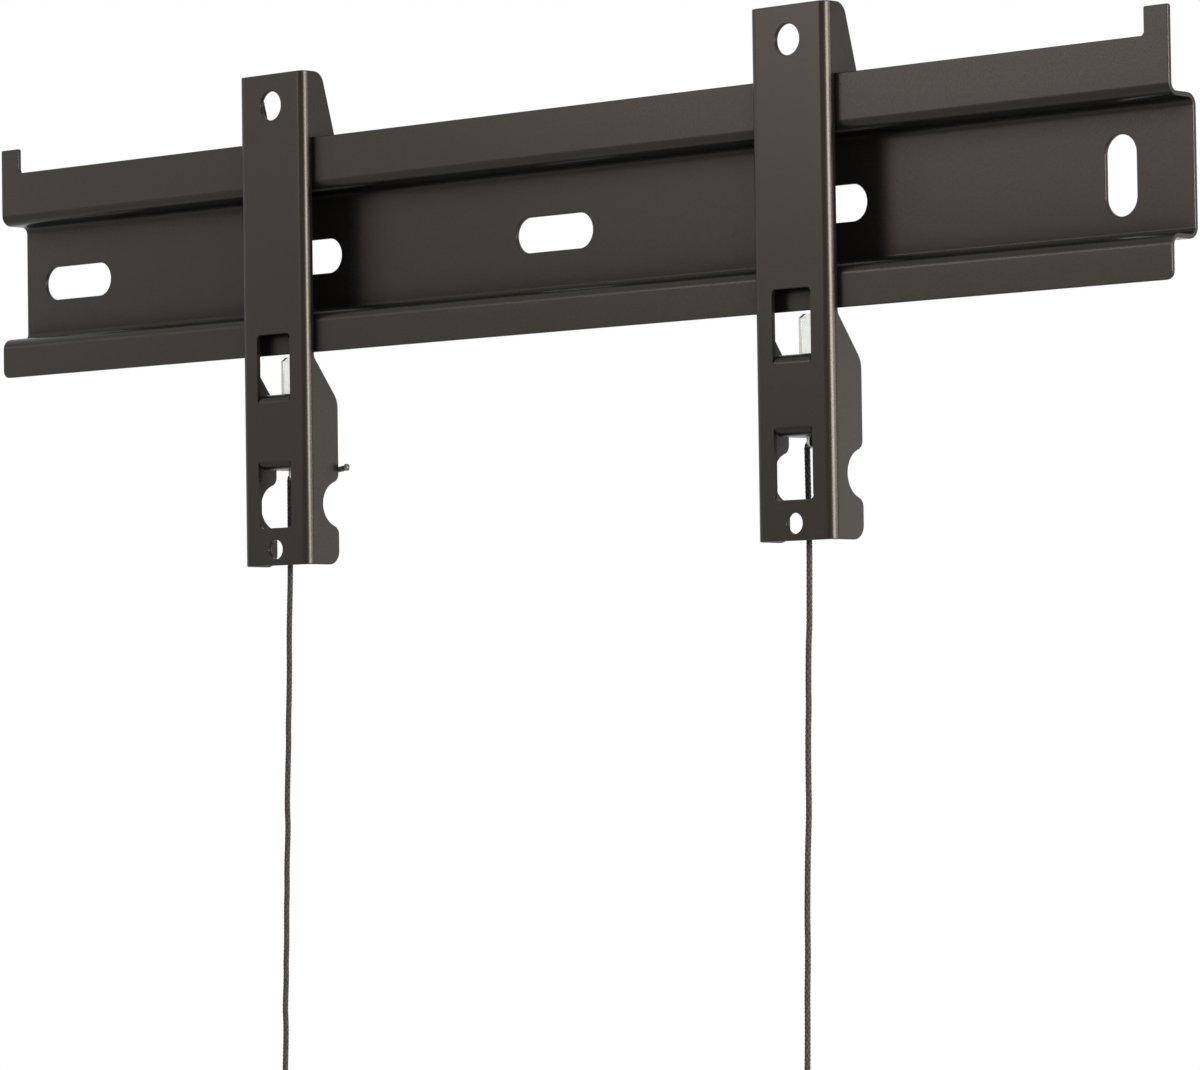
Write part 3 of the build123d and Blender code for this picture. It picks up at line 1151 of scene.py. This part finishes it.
@dataclass
class Studio:
    """The pale floor, the soft light, the white surroundings and the camera."""

    floor_height: float = -0.6
    floor_radius: float = 1.9
    floor_sides: int = 96
    floor_colour: str = "#efeeec"
    floor_roughness: float = 0.8
    floor_white: float = 0.6
    fill_colour: str = "#e8ecf2"
    fill_strength: float = 0.3
    lens_mm: float = 166.589
    sensor_mm: float = 36.0
    nearest: float = 0.05
    farthest: float = 50.0
    camera_place: Point = (1.644876, -1.752523, -0.225190)
    yaw: float = math.radians(42.788)
    pitch: float = math.radians(2.235)
    roll: float = math.radians(0.816)
    # Together they light a white card that faces front to about white
    lamps: Sequence[Lamp] = (
        Lamp("left_softbox", (-1.25, -1.95, 0.58), (0.8, 0.45), 8.8),
        Lamp("far_left_softbox", (-2.05, -1.2, 0.4), (0.4, 0.6), 1.4),
        Lamp("right_softbox", (2.0, -0.7, 0.15), (0.95, 0.5), 74.0),
        Lamp("rear_softbox", (1.1, 1.75, -0.2), (1.2, 0.8), 6.2),
        Lamp("far_right_softbox", (2.1, 0.35, 0.12), (0.9, 0.5), 17.5),
        Lamp("back_softbox", (-0.3, 2.2, -0.25), (1.6, 1.0), 24.0),
        Lamp("top_softbox", (0.5, -0.5, 1.8), (1.2, 0.8), 3.5, aim=(0.0, 0.0, 0.0)),
    )

    def build(self) -> None:
        """Builds the whole studio."""
        bpy.context.scene.view_settings.view_transform = "Standard"
        self.make_world()
        self.make_floor()
        for lamp in self.lamps:
            lamp.build()
        self.make_camera()

    @staticmethod
    def background_rays(tree: bpy.types.NodeTree) -> bpy.types.NodeSocket:
        """Finds the rays that should see plain white.

        Args:
            tree: Node tree of the world or the floor.

        Returns:
            Socket that is one for camera, glossy and transmission rays.
        """
        path = add_node(tree, "ShaderNodeLightPath")
        mirror = add_node(tree, "ShaderNodeMath", {
            0: path.outputs["Is Glossy Ray"], 1: path.outputs["Is Transmission Ray"],
        }, operation="MAXIMUM")
        seen = add_node(tree, "ShaderNodeMath", {
            0: path.outputs["Is Camera Ray"], 1: mirror.outputs["Value"],
        }, operation="MAXIMUM")
        return seen.outputs["Value"]

    def make_world(self) -> None:
        """Makes a world that is white to look at and lights softly."""
        world = bpy.data.worlds.new("white_surroundings")
        bpy.context.scene.world = world
        world.use_nodes = True
        tree = world.node_tree
        tree.nodes.clear()
        fill = add_node(tree, "ShaderNodeBackground", {
            "Color": linear(self.fill_colour), "Strength": self.fill_strength,
        })
        white = add_node(tree, "ShaderNodeBackground", {"Color": WHITE, "Strength": 1.0})
        mix = add_node(tree, "ShaderNodeMixShader", {
            0: self.background_rays(tree), 1: fill.outputs["Background"], 2: white.outputs["Background"],
        })
        add_node(tree, "ShaderNodeOutputWorld", {"Surface": mix.outputs["Shader"]})

    def make_floor(self) -> None:
        """Makes the pale floor, well below the cords."""
        bpy.ops.object.select_all(action="DESELECT")
        bpy.ops.mesh.primitive_circle_add(
            vertices=self.floor_sides, radius=self.floor_radius, fill_type="NGON",
            location=(0.0, 0.0, self.floor_height),
        )
        floor = bpy.context.object
        floor.name = "pale_floor"
        bpy.ops.object.transform_apply(location=True, rotation=False, scale=False)
        # Matt white paint, which to the eye is an even, barely warm white
        material, tree, shader = Finish("pale_floor_paint").start()
        fill_inputs(tree, shader, {
            "Base Color": linear(self.floor_colour), "Roughness": self.floor_roughness,
        })
        glow = add_node(tree, "ShaderNodeEmission", {"Color": WHITE, "Strength": 1.0})
        share = add_node(tree, "ShaderNodeMath", {
            0: self.background_rays(tree), 1: self.floor_white,
        }, operation="MULTIPLY")
        mix = add_node(tree, "ShaderNodeMixShader", {
            0: share.outputs["Value"], 1: shader.outputs["BSDF"], 2: glow.outputs["Emission"],
        })
        fill_inputs(tree, tree.nodes["Material Output"], {"Surface": mix.outputs["Shader"]})
        floor.data.materials.append(material)

    def make_camera(self) -> None:
        """Makes the camera at the photograph's viewing angle."""
        level = Vector((math.cos(self.yaw), math.sin(self.yaw), 0.0))
        flat = math.cos(self.pitch)
        ahead = Vector((-math.sin(self.yaw) * flat, math.cos(self.yaw) * flat, math.sin(self.pitch)))
        down = ahead.cross(level)
        right = math.cos(self.roll) * level + math.sin(self.roll) * down
        up = math.sin(self.roll) * level - math.cos(self.roll) * down
        turn = Matrix((right, up, -ahead)).transposed().to_4x4()
        lens = bpy.data.cameras.new("photo_camera")
        lens.lens = self.lens_mm
        lens.sensor_width = self.sensor_mm
        lens.sensor_fit = "HORIZONTAL"
        lens.clip_start, lens.clip_end = self.nearest, self.farthest
        camera = add_object("photo_camera", lens)
        camera.matrix_world = Matrix.Translation(self.camera_place) @ turn
        bpy.context.scene.camera = camera


# Routes of the cords, in millimetres about each arm's middle

LEFT_HANG: Sequence[Point] = (
    (-2.6, -11.05, -104.0), (-2.75, -11.2, -140.0), (-3.1, -11.45, -155.0), (-3.6, -11.66, -169.0),
    (-3.4, -11.92, -185.0), (-3.6, -12.17, -199.0), (-4.1, -12.41, -211.5), (-3.85, -12.56, -219.5),
    (-4.3, -12.76, -230.0), (-4.8, -13.08, -248.7), (-4.2, -13.17, -255.0), (-4.5, -13.3, -264.6),
    (-5.05, -13.44, -274.0), (-4.9, -13.61, -286.0), (-5.3, -13.71, -293.0), (-5.2, -13.96, -310.0),
    (-5.7, -14.08, -318.0), (-5.45, -14.17, -324.0), (-6.3, -14.39, -339.0), (-5.7, -14.48, -345.0),
    (-5.8, -14.65, -355.0), (-6.4, -14.9, -370.0), (-6.4, -14.9, -376.0),
)
RIGHT_HANG: Sequence[Point] = (
    (-2.6, -11.05, -104.0), (-2.25, -10.95, -138.0), (-2.5, -11.2, -160.0), (-2.65, -11.39, -176.0),
    (-3.2, -11.46, -182.0), (-3.5, -11.69, -200.0), (-3.3, -11.8, -207.0), (-3.65, -11.92, -216.0),
    (-3.78, -12.07, -226.0), (-3.7, -12.27, -240.0), (-3.5, -12.42, -250.0), (-3.9, -12.57, -260.0),
    (-4.35, -12.72, -270.0), (-4.58, -12.93, -284.0), (-4.78, -13.08, -294.0), (-4.55, -13.25, -306.0),
    (-4.7, -13.39, -316.0), (-5.05, -13.54, -327.0), (-4.95, -13.67, -336.0), (-5.15, -13.87, -352.0),
    (-5.6, -14.1, -370.0), (-5.6, -14.1, -376.0),
)
LEFT_TAIL: Sequence[Point] = (
    (5.45, -11.05, -98.6), (9.0, -11.05, -98.6), (18.2, -2.0, -97.2), (23.2, -1.7, -96.2),
)


def main() -> None:
    """Builds the studio and every piece."""
    logging.basicConfig(level=logging.INFO, format="%(name)s: %(message)s")
    finishes = Finishes()
    Studio().build()
    WallRail().build(finishes)
    for hand in Hand:
        Arm(hand).build(finishes)
        Latch(hand).build(finishes)
    PullCord(Hand.LEFT, LEFT_HANG, LEFT_TAIL).build(finishes)
    PullCord(Hand.RIGHT, RIGHT_HANG).build(finishes)


if __name__ == "__main__":
    main()
